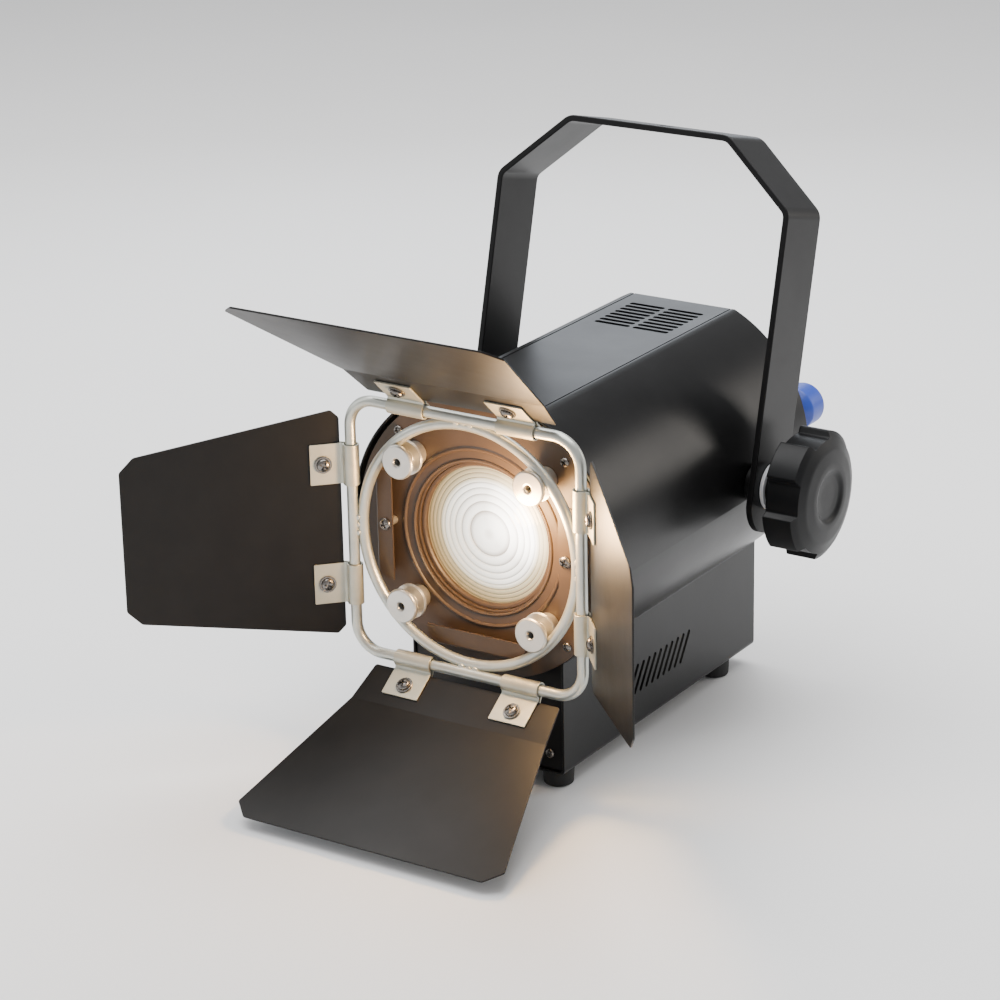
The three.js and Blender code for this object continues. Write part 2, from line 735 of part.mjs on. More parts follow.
// ---- The whole light ----
const housing = groupOf(
  upperShell(),
  lowerBody(),
  frontPlate(),
  rearPanel(),
  baseFrontPanel(),
  feet(),
  lensTube(),
  lensRetainer(),
  fresnelLens(),
  gelRunner("gel_runner_bottom", 0),
  gelRunner("gel_runner_left", Math.PI / 2),
  gelRunner("gel_runner_right", -Math.PI / 2),
  ringSpools(),
  guideRod("guide_rod_left", -rodX),
  guideRod("guide_rod_right", rodX),
  ledDriver(),
  powerInlet(),
  safetyLoop(),
  focusBushing(),
  pivotHardware(),
);
const carriage = groupOf(carriagePlate(), heatSink(), ledModule(), reflectorCup());
const focusScrew = groupOf(focusSpindle(), focusKnob());
const spotlight = groupOf(housing, carriage, focusScrew, yokeAssembly(), barndoor());

const box = new THREE.Box3().setFromObject(spotlight, true);
spotlight.position.set(0, -(box.min.y + box.max.y) / 2, -box.min.z);

export default spotlight;
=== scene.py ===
"""The looks of a small fresnel spotlight with a barn door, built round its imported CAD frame.

Pieces are drawn in millimetres round the lens axis, in the plane of the barn door's wire frame:
x to the clamp knob's side, y to the rear, z up. `place` puts them into the frame, in metres.
"""
import json
import math

import bmesh
import bpy
from mathutils import Matrix, Vector


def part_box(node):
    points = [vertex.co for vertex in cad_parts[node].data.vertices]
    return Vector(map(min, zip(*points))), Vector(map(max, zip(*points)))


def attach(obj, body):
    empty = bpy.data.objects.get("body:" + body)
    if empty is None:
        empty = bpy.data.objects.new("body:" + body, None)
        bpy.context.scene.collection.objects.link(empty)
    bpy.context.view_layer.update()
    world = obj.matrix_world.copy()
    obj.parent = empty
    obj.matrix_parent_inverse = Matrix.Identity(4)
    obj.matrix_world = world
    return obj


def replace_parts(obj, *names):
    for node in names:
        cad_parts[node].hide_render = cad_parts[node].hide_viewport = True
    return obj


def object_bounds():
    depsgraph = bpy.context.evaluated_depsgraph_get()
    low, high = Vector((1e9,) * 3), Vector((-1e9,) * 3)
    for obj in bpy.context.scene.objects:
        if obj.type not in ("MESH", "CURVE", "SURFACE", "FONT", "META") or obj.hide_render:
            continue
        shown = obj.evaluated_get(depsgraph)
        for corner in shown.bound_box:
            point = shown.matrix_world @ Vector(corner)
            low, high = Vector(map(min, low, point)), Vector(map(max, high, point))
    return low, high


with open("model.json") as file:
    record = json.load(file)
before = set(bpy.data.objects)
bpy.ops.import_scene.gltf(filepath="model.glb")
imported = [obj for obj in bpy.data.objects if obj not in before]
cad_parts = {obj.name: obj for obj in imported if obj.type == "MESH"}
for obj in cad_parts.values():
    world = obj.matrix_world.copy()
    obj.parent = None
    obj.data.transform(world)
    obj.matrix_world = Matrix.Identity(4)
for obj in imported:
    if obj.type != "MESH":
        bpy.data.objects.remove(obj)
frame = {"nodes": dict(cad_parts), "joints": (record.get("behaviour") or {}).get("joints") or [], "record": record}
cad_box = [list(corner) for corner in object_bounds()]

# ---- Places and sizes from the frame, in millimetres ----
MM = 0.001
WIRE_RADIUS = 3.5
JOINTS = {joint["name"]: joint for joint in frame["joints"]}
MOUNTS = {mount["name"]: mount for mount in frame["record"]["mounts"]}
LENS_AXIS = Vector(JOINTS["barndoor_turn"]["pos_m"])


def span(node):
    """A node's lowest and highest corner in the lens frame, in millimetres."""
    return [(corner - LENS_AXIS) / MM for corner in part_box(node)]


def joint_place(name):
    return (Vector(JOINTS[name]["pos_m"]) - LENS_AXIS) / MM


place = Matrix.Translation(LENS_AXIS) @ Matrix.Scale(MM, 4)
shell_low, shell_high = span("upper_shell")
body_low, body_high = span("lower_body")
plate_high = span("front_plate")[1]
rear_low, rear_high = span("rear_panel")
SHEET = 1.6
GAP = 0.3
SHELL_RADIUS = shell_high.x
SHELL_TOP = shell_high.z
CRADLE_RADIUS = body_high.x
BASE_HALF = 55
BASE_BOTTOM = body_low.z
FOCUS_BORE = 4.3
PIVOT_BORE = 5.3
PLATE_Y = plate_high.y - SHEET
FRAME_HALF = round(span("barndoor_frame")[1].x - WIRE_RADIUS, 1)
pivot = joint_place("yoke_tilt")
AT_PIVOT = Matrix.Translation((0, pivot.y, pivot.z))
lean = math.asin(MOUNTS["yoke_top"]["axis"][1])
deg = math.radians


# ---- Mesh making ----
def finish_mesh(name, mesh, material, body, sharp=35):
    """Puts a mesh drawn in the lens frame on its body, with its material and slot."""
    mesh.transform(place)
    mesh.name = name
    mesh.materials.clear()
    mesh.materials.append(material)
    mesh.shade_smooth()
    mesh.set_sharp_from_angle(angle=deg(sharp))
    piece = bpy.data.objects.new(name, mesh)
    bpy.context.scene.collection.objects.link(piece)
    even = piece.modifiers.new("even_shading", "WEIGHTED_NORMAL")
    even.keep_sharp = True
    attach(piece, body)
    return piece


def mesh_of(thing):
    """The finished mesh of a temporary curve or mesh object, which is then removed."""
    bpy.context.scene.collection.objects.link(thing)
    bpy.context.view_layer.update()
    seen = thing.evaluated_get(bpy.context.evaluated_depsgraph_get())
    mesh = bpy.data.meshes.new_from_object(seen)
    bpy.data.objects.remove(thing)
    return mesh


def clean(mesh, merge=0.0005):
    """Welds what touches and turns every face outwards."""
    work = bmesh.new()
    work.from_mesh(mesh)
    bmesh.ops.remove_doubles(work, verts=work.verts, dist=merge)
    bmesh.ops.dissolve_degenerate(work, edges=work.edges, dist=1e-5)
    bmesh.ops.recalc_face_normals(work, faces=work.faces)
    work.to_mesh(mesh)
    work.free()
    return mesh


def signed_area(points):
    return sum(a[0] * b[1] - b[0] * a[1] for a, b in zip(points, points[1:] + points[:1])) / 2


ALONG = {
    "x": Matrix(((0, 0, 1, 0), (1, 0, 0, 0), (0, 1, 0, 0), (0, 0, 0, 1))),
    "y": Matrix(((1, 0, 0, 0), (0, 0, -1, 0), (0, 1, 0, 0), (0, 0, 0, 1))),
    "z": Matrix.Identity(4),
}


def slab(outlines, low, high, along, bevel=0.35, steps=2):
    """A slab from low to high along an axis, with rounded edges. The first outline is its
    edge and the others are holes, in the two other axes: (y, z), (x, z) or (x, y)."""
    curve = bpy.data.curves.new("slab", "CURVE")
    curve.dimensions = "2D"
    curve.fill_mode = "BOTH"
    curve.extrude = (high - low) / 2 - bevel
    curve.bevel_depth = bevel
    curve.bevel_resolution = steps
    curve.offset = -bevel
    for number, outline in enumerate(outlines):
        points = [tuple(point) for point in outline]
        if (signed_area(points) > 0) != (number == 0):
            points.reverse()
        spline = curve.splines.new("POLY")
        spline.points.add(len(points) - 1)
        for target, (u, v) in zip(spline.points, points):
            target.co = (u, v, 0, 1)
        spline.use_cyclic_u = True
    mesh = mesh_of(bpy.data.objects.new("slab", curve))
    middle = Vector((0, 0, 0))
    middle["xyz".index(along)] = (low + high) / 2
    mesh.transform(Matrix.Translation(middle) @ ALONG[along])
    return clean(mesh)


def turned(profile, segments=96, closed=False):
    """A solid turned about the Y axis from (radius, y) points. A closed profile is a ring."""
    work = bmesh.new()
    rings = []
    for radius, y in profile:
        if radius < 1e-6:
            rings.append([work.verts.new((0, y, 0))])
            continue
        angles = [2 * math.pi * i / segments for i in range(segments)]
        rings.append([work.verts.new((radius * math.cos(a), y, radius * math.sin(a))) for a in angles])
    pairs = list(zip(rings, rings[1:]))
    if closed:
        pairs.append((rings[-1], rings[0]))
    for near, far in pairs:
        for i in range(segments):
            j = (i + 1) % segments
            corners = [near[i % len(near)], near[j % len(near)], far[j % len(far)], far[i % len(far)]]
            unique = list(dict.fromkeys(corners))
            if len(unique) > 2:
                work.faces.new(unique)
    bmesh.ops.recalc_face_normals(work, faces=work.faces)
    mesh = bpy.data.meshes.new("turned")
    work.to_mesh(mesh)
    work.free()
    return mesh


def rounded(profile, radius=0.4, steps=3):
    """The profile with its inner corners rounded by small arcs."""
    points = [Vector(point) for point in profile]
    made = [points[0]]
    for before, corner, after in zip(points, points[1:], points[2:]):
        to_before, to_after = before - corner, after - corner
        reach = min(radius, to_before.length * 0.45, to_after.length * 0.45)
        start = corner + to_before.normalized() * reach
        end = corner + to_after.normalized() * reach
        for step in range(steps + 1):
            t = step / steps
            made.append(start * (1 - t) ** 2 + corner * 2 * t * (1 - t) + end * t ** 2)
    made.append(points[-1])
    return [tuple(point) for point in made]


def rounded_loop(profile, radius=0.4, steps=3):
    """As rounded, on a profile that closes on itself."""
    points = list(profile)
    looped = [points[-1], *points, points[0]]
    return rounded(looped, radius, steps)[1:-1]


def wire(points, radius, cyclic=False, sides=6):
    """A round wire along points."""
    curve = bpy.data.curves.new("wire", "CURVE")
    curve.dimensions = "3D"
    curve.bevel_depth = radius
    curve.bevel_resolution = sides
    curve.use_fill_caps = not cyclic
    spline = curve.splines.new("POLY")
    spline.points.add(len(points) - 1)
    for target, point in zip(spline.points, points):
        target.co = (*point, 1)
    spline.use_cyclic_u = cyclic
    return clean(mesh_of(bpy.data.objects.new("wire", curve)))


def arc(radius, start, end, step=3, centre=(0, 0)):
    """Points on an arc, the angles in degrees."""
    count = max(1, round(abs(end - start) / step))
    angles = [deg(start + (end - start) * i / count) for i in range(count + 1)]
    return [Vector((centre[0] + radius * math.cos(a), centre[1] + radius * math.sin(a))) for a in angles]


def circle(u, v, radius, step=10):
    return arc(radius, 0, 360 - step, step, (u, v))


def rectangle(u0, v0, u1, v1, corner=0.0):
    if corner == 0:
        return [(u0, v0), (u1, v0), (u1, v1), (u0, v1)]
    centres = [(u1 - corner, v0 + corner, -90), (u1 - corner, v1 - corner, 0),
               (u0 + corner, v1 - corner, 90), (u0 + corner, v0 + corner, 180)]
    return [p for u, v, start in centres for p in arc(corner, start, start + 90, 22.5, (u, v))]


def strip(path, thickness):
    """The outline of a strip of even thickness bent along a line of points."""
    points = [Vector(point) for point in path]
    sides = ([], [])
    for i, point in enumerate(points):
        before = (point - points[max(i - 1, 0)]).normalized()
        after = (points[min(i + 1, len(points) - 1)] - point).normalized()
        along = (before + after).normalized()
        square = Vector((-along.y, along.x))
        ends = i in (0, len(points) - 1)
        stretch = 1 if ends else 1 / math.sqrt(max((1 + before.dot(after)) / 2, 0.1))
        for side, sign in zip(sides, (1, -1)):
            side.append(point + square * sign * thickness / 2 * stretch)
    return sides[0] + sides[1][::-1]


def bend(path, radius, steps=5):
    """A path whose corners are rounded to a bending radius."""
    return [Vector(point) for point in rounded(path, radius * 1.2, steps)]


def mirrored(path):
    return [Vector((-point[0], point[1])) for point in reversed(path)]


def box_mesh(low, high):
    work = bmesh.new()
    bmesh.ops.create_cube(work, size=1)
    for vert in work.verts:
        vert.co = Vector([low[k] + (high[k] - low[k]) * (vert.co[k] + 0.5) for k in range(3)])
    mesh = bpy.data.meshes.new("box")
    work.to_mesh(mesh)
    work.free()
    return mesh


def moved(mesh, matrix):
    mesh.transform(matrix)
    return mesh


def merged(meshes):
    """Several meshes as one."""
    work = bmesh.new()
    for mesh in meshes:
        work.from_mesh(mesh)
    whole = bpy.data.meshes.new("merged")
    work.to_mesh(whole)
    work.free()
    return whole


def boolean(mesh, tools, operation="DIFFERENCE"):
    """Cuts the tools out of a mesh, or joins them to it."""
    subject = bpy.data.objects.new("subject", mesh)
    cutter = bpy.data.objects.new("cutter", merged(tools))
    bpy.context.scene.collection.objects.link(cutter)
    modifier = subject.modifiers.new("boolean", "BOOLEAN")
    modifier.operation = operation
    modifier.solver = "EXACT"
    modifier.use_self = True
    modifier.object = cutter
    made = mesh_of(subject)
    bpy.data.objects.remove(cutter)
    return clean(made)


def bevelled(mesh, width, segments=2, angle=30):
    subject = bpy.data.objects.new("subject", mesh)
    modifier = subject.modifiers.new("bevel", "BEVEL")
    modifier.width = width
    modifier.segments = segments
    modifier.limit_method = "ANGLE"
    modifier.angle_limit = deg(angle)
    modifier.harden_normals = False
    return mesh_of(subject)


def to_axis(x_direction):
    """Turns a solid that lies along +Y so that it lies along +X or -X."""
    return Matrix.Rotation(-math.pi / 2 * x_direction, 4, "Z")


TO_Z = Matrix.Rotation(math.pi / 2, 4, "X")


# ---- Materials ----
class Nodes:
    """A material's node tree, with short ways to add nodes and links."""

    def __init__(self, name):
        self.material = bpy.data.materials.new(name)
        self.material.use_nodes = True
        self.tree = self.material.node_tree
        self.shader = self.tree.nodes["Principled BSDF"]
        self.place = self.add("ShaderNodeTexCoord").outputs["Object"]

    def add(self, kind, **settings):
        node = self.tree.nodes.new(kind)
        for name, value in settings.items():
            setattr(node, name, value)
        return node

    def link(self, output, target):
        self.tree.links.new(output, target)

    def set(self, **values):
        for name, value in values.items():
            self.shader.inputs[name.replace("_", " ")].default_value = value

    def noise(self, scale, detail=3, roughness=0.5, stretch=(1, 1, 1)):
        mapping = self.add("ShaderNodeMapping")
        mapping.inputs["Scale"].default_value = stretch
        self.link(self.place, mapping.inputs["Vector"])
        noise = self.add("ShaderNodeTexNoise")
        noise.inputs["Scale"].default_value = scale
        noise.inputs["Detail"].default_value = detail
        noise.inputs["Roughness"].default_value = roughness
        self.link(mapping.outputs["Vector"], noise.inputs["Vector"])
        return noise.outputs["Fac"]

    def ramp(self, factor, stops):
        ramp = self.add("ShaderNodeValToRGB")
        elements = ramp.color_ramp.elements
        while len(elements) < len(stops):
            elements.new(0.5)
        for element, (position, colour) in zip(elements, stops):
            element.position = position
            element.color = (*colour, 1) if len(colour) == 3 else colour
        self.link(factor, ramp.inputs["Fac"])
        return ramp.outputs["Color"]

    def spread(self, factor, low, high):
        """A number from low to high as the factor goes from 0.3 to 0.7."""
        spread = self.add("ShaderNodeMapRange")
        for name, value in (("From Min", 0.3), ("From Max", 0.7), ("To Min", low), ("To Max", high)):
            spread.inputs[name].default_value = value
        self.link(factor, spread.inputs["Value"])
        return spread.outputs["Result"]

    def bump(self, height, strength, distance, after=None):
        bump = self.add("ShaderNodeBump")
        bump.inputs["Strength"].default_value = strength
        bump.inputs["Distance"].default_value = distance
        self.link(height, bump.inputs["Height"])
        if after is not None:
            self.link(after, bump.inputs["Normal"])
        return bump.outputs["Normal"]

    def normal(self, output):
        self.link(output, self.shader.inputs["Normal"])


def powder_coat(name, colour, roughness=0.4, texture=0.12, specular=0.4):
    """Black powder coat: orange peel at about a millimetre, fine grain, faint dust and rub marks."""
    made = Nodes(name)
    dust = made.noise(45, 5, 0.6)
    lighter = tuple(min(1, c * 1.25 + 0.0015) for c in colour)
    made.link(made.ramp(dust, [(0.35, colour), (0.75, lighter)]), made.shader.inputs["Base Color"])
    rub = made.noise(12, 6, 0.65)
    made.link(made.spread(rub, roughness - 0.03, roughness + 0.05), made.shader.inputs["Roughness"])
    peel = made.bump(made.noise(900, 2, 0.5), texture, 0.0002)
    made.normal(made.bump(made.noise(4200, 1, 0.5), texture * 0.7, 0.00006, peel))
    made.set(Specular_IOR_Level=specular)
    return made.material


def metal(name, colour, roughness, brushed=(1, 1, 1), grain=700, depth=0.05,
          stain=None, metallic=1.0, vary=0.06):
    """Bare metal with brushing or grain, uneven polish and a little tarnish."""
    made = Nodes(name)
    patches = made.noise(60, 5, 0.6)
    dull = stain or tuple(c * 0.72 for c in colour)
    made.link(made.ramp(patches, [(0.32, dull), (0.62, colour)]), made.shader.inputs["Base Color"])
    lines = made.noise(grain, 3, 0.6, brushed)
    made.link(made.spread(lines, roughness - vary, roughness + vary), made.shader.inputs["Roughness"])
    made.normal(made.bump(lines, depth, 0.0001))
    made.set(Metallic=metallic)
    return made.material


def plastic(name, colour, roughness, grain=2600, depth=0.12, specular=0.5):
    """Moulded plastic with fine spark-eroded grain and finger-worn patches."""
    made = Nodes(name)
    wear = made.noise(30, 5, 0.6)
    lighter = tuple(min(1, c * 1.25 + 0.003) for c in colour)
    made.link(made.ramp(wear, [(0.35, colour), (0.7, lighter)]), made.shader.inputs["Base Color"])
    made.link(made.spread(wear, roughness + 0.04, roughness - 0.06), made.shader.inputs["Roughness"])
    made.normal(made.bump(made.noise(grain, 2, 0.6), depth, 0.00008))
    made.set(Specular_IOR_Level=specular)
    return made.material


def lens_glass():
    """Pressed glass whose light from behind is painted on as emission: a painted hot spot off its middle, a
    painted dark shade line at each step, a painted golden glow at the rim.
    """
    made = Nodes("fresnel_glass_painted_glow")

    def reach(x, z):
        flat = made.add("ShaderNodeMapping")
        flat.inputs["Location"].default_value = (-LENS_AXIS.x - x * MM, 0, -LENS_AXIS.z - z * MM)
        flat.inputs["Scale"].default_value = (1, 0, 1)
        made.link(made.place, flat.inputs["Vector"])
        length = made.add("ShaderNodeVectorMath", operation="LENGTH")
        made.link(flat.outputs["Vector"], length.inputs[0])
        return length.outputs["Value"]

    def scaled(value, low, high):
        span_of = made.add("ShaderNodeMapRange", clamp=False)
        span_of.inputs["From Min"].default_value = low * MM
        span_of.inputs["From Max"].default_value = high * MM
        made.link(value, span_of.inputs["Value"])
        return span_of.outputs["Result"]

    def product(one, other):
        both = made.add("ShaderNodeVectorMath", operation="MULTIPLY")
        made.link(one, both.inputs[0])
        made.link(other, both.inputs[1])
        return both.outputs["Vector"]

    # painted highlight: emitted light brightest round LENS_HOT_SPOT, fading towards the far side
    glow = made.ramp(scaled(reach(*LENS_HOT_SPOT), 0, 78), [
        (0.0, (1.0, 0.98, 0.93)), (0.22, (0.8, 0.78, 0.73)), (0.42, (0.34, 0.335, 0.315)),
        (0.72, (0.19, 0.183, 0.16)), (1.0, (0.1, 0.08, 0.05))])
    share = scaled(reach(0, 0), 0, LENS_RADIUS)
    area = made.add("ShaderNodeMath", operation="MULTIPLY")
    made.link(share, area.inputs[0])
    made.link(share, area.inputs[1])
    rings = made.add("ShaderNodeMath", operation="MULTIPLY")
    made.link(area.outputs[0], rings.inputs[0])
    rings.inputs[1].default_value = LENS_RINGS
    turns = made.add("ShaderNodeMath", operation="FRACT")
    made.link(rings.outputs[0], turns.inputs[0])
    # painted shade: a dark line at each lens step, lighter just after it
    lines = made.ramp(turns.outputs[0], [
        (0.0, (0.75,) * 3), (0.08, (1.0,) * 3), (0.6, (0.85,) * 3), (0.84, (0.42, 0.42, 0.43)),
        (0.94, (0.16, 0.16, 0.17)), (1.0, (0.4,) * 3)])
    # painted light: the emission turns golden, then dark brown, towards the rim
    rim = made.ramp(share, [(0.68, (1.0, 1.0, 1.0)), (0.77, (0.5, 0.43, 0.29)), (1.0, (0.3, 0.21, 0.1))])
    made.link(product(product(glow, lines), rim), made.shader.inputs["Emission Color"])
    made.set(Base_Color=(0.1, 0.095, 0.085, 1), Roughness=0.1, IOR=1.5, Emission_Strength=LENS_GLOW)
    made.normal(made.bump(made.noise(260, 3, 0.5), 0.05, 0.0002))
    return made.material


def bare_emitter(name, colour, strength):
    made = Nodes(name)
    made.set(Base_Color=(*colour, 1), Emission_Color=(*colour, 1), Emission_Strength=strength)
    cells = made.noise(900, 2, 0.5)
    made.link(made.spread(cells, 0.4, 0.6), made.shader.inputs["Roughness"])
    return made.material


LENS_RADIUS = 46.8
LENS_RINGS = 10
LENS_HOT_SPOT = (30, 16)  # x and z
# strength of the painted light that the lens emits
LENS_GLOW = 12

coat = powder_coat("housing_powder_coat", (0.004, 0.004, 0.0042), 0.3, 0.1, 0.27)
# painted light: a warm brown copy of the black housing coat that stands in for lamp light on the front plate, lens
# barrel, clamp ring and runners
lamp_lit_coat = powder_coat("powder_coat_painted_lamp_light", (0.05, 0.033, 0.022), 0.42)
yoke_coat = powder_coat("yoke_powder_coat", (0.0035, 0.0035, 0.0037), 0.35, 0.14, 0.22)
leaf_coat = powder_coat("leaf_matt_paint", (0.0045, 0.0038, 0.0032), 0.38, 0.05, 0.25)
bright = metal("satin_wire", (0.56, 0.575, 0.53), 0.34, grain=1600, depth=0.008,
               stain=(0.48, 0.49, 0.44), metallic=0.75, vary=0.02)
zinc = metal("zinc_plate", (0.52, 0.515, 0.44), 0.42, grain=700, depth=0.02,
             stain=(0.45, 0.44, 0.36), metallic=0.65, vary=0.04)
screw_steel = metal("screw_steel", (0.22, 0.205, 0.19), 0.27, grain=1200, depth=0.03)
machined = metal("machined_aluminium", (0.64, 0.625, 0.58), 0.3, (1, 6, 1), 900, 0.003,
                 stain=(0.56, 0.545, 0.5), metallic=0.8, vary=0.015)
rough_aluminium = metal("cast_aluminium", (0.55, 0.55, 0.56), 0.45, grain=1500, depth=0.15)
rubber = plastic("foot_rubber", (0.012, 0.012, 0.012), 0.75, 1800, 0.3)
black_plastic = plastic("knob_plastic", (0.003, 0.0032, 0.0037), 0.4, 2400, 0.16, specular=0.2)
blue_plastic = plastic("knob_blue_plastic", (0.02, 0.06, 0.4), 0.4, 2600, 0.06)
white_plastic = plastic("washer_nylon", (0.62, 0.63, 0.65), 0.4, 2200, 0.06)
glass = lens_glass()
emitter = bare_emitter("led_phosphor", (1.0, 0.82, 0.45), 3.0)


# ---- Fasteners ----
def screw_head(radius, height, washer=0.0):
    """A pan head with a cross recess, its underside at y 0 and facing +Y, over a washer."""
    profile = [(0, 0), (radius * 0.96, 0), (radius, height * 0.3), (radius * 0.82, height * 0.75),
               (radius * 0.45, height * 0.97), (0, height)]
    head = turned(rounded(profile, radius * 0.3, 4), 40)
    reach, width, depth = radius * 0.64, radius * 0.15, height * 0.85
    cross = [box_mesh((-reach, height - depth, -width), (reach, height + 1, width)),
             box_mesh((-width, height - depth, -reach), (width, height + 1, reach))]
    head = boolean(head, [cross[0]])
    head = boolean(head, [cross[1]])
    if washer:
        lift = radius * 0.2
        head.transform(Matrix.Translation((0, lift, 0)))
        ring = turned([(0, 0), (washer, 0), (washer, lift * 0.8), (washer - 0.2, lift), (0, lift)], 40)
        head = merged([head, ring])
    return head


def facing(point, direction, spin=0.0):
    """Stands a solid drawn along +Y at a point, facing a direction."""
    turn = Vector((0, 1, 0)).rotation_difference(Vector(direction)).to_matrix().to_4x4()
    return Matrix.Translation(point) @ turn @ Matrix.Rotation(deg(spin), 4, "Y")


small_head = screw_head(3.1, 1.9)


def panel_screw(name, point, direction, spin):
    mesh = moved(small_head.copy(), facing(point, direction, spin))
    finish_mesh(name, mesh, screw_steel, "housing")


# ---- Housing ----
def pivot_rod(segments):
    """A rod along +Y, long enough to cut the pivot holes on both sides at once."""
    reach = 120
    return turned([(0, -reach), (PIVOT_BORE, -reach), (PIVOT_BORE, reach), (0, reach)], segments)


def upper_shell():
    radius = SHELL_RADIUS - SHEET / 2
    flat = math.degrees(math.asin((SHELL_TOP - SHEET / 2) / radius))
    side = arc(radius, -6, flat, 2)
    path = [*side, *mirrored(side)]
    mesh = slab([strip(path, SHEET)], shell_low.y, shell_high.y, "y", 0.45)
    edge = radius * math.cos(deg(flat))
    tools = [box_mesh((sign * (edge - 2.6) - 0.5, shell_low.y - 5, SHELL_TOP - 0.9),
                      (sign * (edge - 2.6) + 0.5, shell_high.y + 5, SHELL_TOP + 3)) for sign in (-1, 1)]
    count, first, pitch, width, inner, length = 8, 194.4, 6.36, 3.9, 1.3, 25.8
    for row in range(count):
        y = first + row * pitch
        for x0, x1 in ((inner, inner + length), (-inner - length, -inner)):
            outline = rectangle(x0, y, x1, y + width, width * 0.45)
            tools.append(slab([outline], SHELL_TOP - 8, SHELL_TOP + 8, "z", 0.05, 0))
    tools.append(moved(pivot_rod(32), AT_PIVOT @ to_axis(1)))
    piece = finish_mesh("upper_shell_cover", boolean(mesh, tools), coat, "housing")
    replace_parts(piece, "upper_shell")


def lower_body():
    radius = CRADLE_RADIUS - SHEET / 2
    half = BASE_HALF - SHEET / 2
    crease = -math.degrees(math.acos(half / radius))
    floor_z = BASE_BOTTOM + SHEET / 2
    side = arc(radius, 8, crease + 2, 2)
    corner = [Vector((half, radius * math.sin(deg(crease)))), Vector((half, floor_z)), Vector((0, floor_z))]
    path = bend([side[-1], *corner], 2.4)
    path = [*side[:-1], *path[:-1]]
    mesh = slab([strip([*path, *mirrored(path)], SHEET)], body_low.y, body_high.y, "y", 0.4)
    tools = []
    count, first, pitch, width, bottom, height, lift = 10, 97, 7.2, 3, -124, 20, 11
    for slit in range(count):
        y = first + slit * pitch
        for x0, x1 in ((-60, -45), (45, 60)):
            ends = [(y + width / 2, bottom + width / 2), (y + width / 2 + lift, bottom + height - width / 2)]
            tools.append(slab([rounded_bar(ends, width)], x0, x1, "x", 0.05, 0))
    tools.append(moved(pivot_rod(32), AT_PIVOT @ to_axis(1)))
    piece = finish_mesh("lower_body_tray", boolean(mesh, tools), coat, "housing")
    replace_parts(piece, "lower_body")


def rounded_bar(ends, width):
    """The outline of a bar with round ends between two points."""
    (u0, v0), (u1, v1) = ends
    angle = math.degrees(math.atan2(v1 - v0, u1 - u0))
    far = arc(width / 2, angle - 90, angle + 90, 20, (u1, v1))
    near = arc(width / 2, angle + 90, angle + 270, 20, (u0, v0))
    return far + near


def flat_topped(radius, top):
    flat = math.degrees(math.asin(top / radius))
    return arc(radius, 180 - flat, 360 + flat, 2)


def front_plate():
    opening = 48.5
    outline = flat_topped(CRADLE_RADIUS - GAP - 0.2, plate_high.z)
    disc = slab([outline, circle(0, 0, opening, 4)], PLATE_Y, PLATE_Y + SHEET, "y", 0.3)
    ridge = [(54.6, PLATE_Y + 0.8), (55.4, PLATE_Y - 0.4), (56.1, PLATE_Y - 1.1), (56.9, PLATE_Y - 1.1),
             (57.6, PLATE_Y - 0.4), (58.4, PLATE_Y + 0.8)]
    rim = [(opening + 0.1, PLATE_Y + 1.2), (opening + 0.1, PLATE_Y - 0.7), (opening + 0.8, PLATE_Y - 1.2),
           (opening + 1.6, PLATE_Y - 0.7), (opening + 2.2, PLATE_Y + 0.8)]
    rings = [turned(rounded_loop(ring, 0.5), 120, closed=True) for ring in (ridge, rim)]
    whole = boolean(disc, rings, "UNION")
    piece = finish_mesh("front_plate_pressing", whole, lamp_lit_coat, "housing", 25)
    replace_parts(piece, "front_plate")
    for number, (x, z) in enumerate(((-59.5, 59), (59.5, 59), (-59.5, -59), (59.5, -59))):
        panel_screw(f"front_plate_screw_{number + 1}", (x, PLATE_Y, z), (0, -1, 0), 20 + 35 * number)


def rear_panel():
    radius = CRADLE_RADIUS - SHEET - GAP
    flat = math.degrees(math.asin(rear_high.z / radius))
    half = BASE_HALF - SHEET - GAP
    crease = math.degrees(math.acos(half / radius))
    outline = [*arc(radius, -crease, flat, 2), *arc(radius, 180 - flat, 180 + crease, 2),
               Vector((-half, rear_low.z)), Vector((half, rear_low.z))]
    screw_axis = joint_place("focus_knob_turn")
    holes = [circle(screw_axis.x, screw_axis.z, FOCUS_BORE), rectangle(-14, -126, 14, -104)]
    slots, highest, slot_pitch, slot_width, slot_half = 6, -28, 6.4, 2.6, 26
    for row in range(slots):
        z = highest - row * slot_pitch
        holes.append(rounded_bar([(-slot_half, z), (slot_half, z)], slot_width))
    mesh = slab([outline, *holes], rear_low.y, rear_high.y, "y", 0.25)
    piece = finish_mesh("rear_panel_sheet", mesh, coat, "housing")
    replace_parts(piece, "rear_panel")
    places = [(-72, 30), (72, -22), (-72, -22), (-28, 76), (28, 76), (-46, -136), (46, -136)]
    for number, (x, z) in enumerate(places):
        panel_screw(f"rear_panel_screw_{number + 1}", (x, rear_high.y, z), (0, 1, 0), 23 * number)


def base_front_panel():
    low, high = span("base_front_panel")
    front = [box_mesh((low.x, low.y, low.z), (high.x, low.y + SHEET, high.z)),
             box_mesh((low.x + 4, low.y + 0.4, high.z - SHEET), (high.x - 4, high.y, high.z))]
    mesh = bevelled(boolean(front[0], [front[1]], "UNION"), 0.35)
    piece = finish_mesh("base_front_sheet", mesh, coat, "housing")
    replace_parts(piece, "base_front_panel")
    for side in (-1, 1):
        panel_screw(f"base_front_screw_{'left' if side < 0 else 'right'}",
                    (side * 44, low.y, -134), (0, -1, 0), 31 * side)


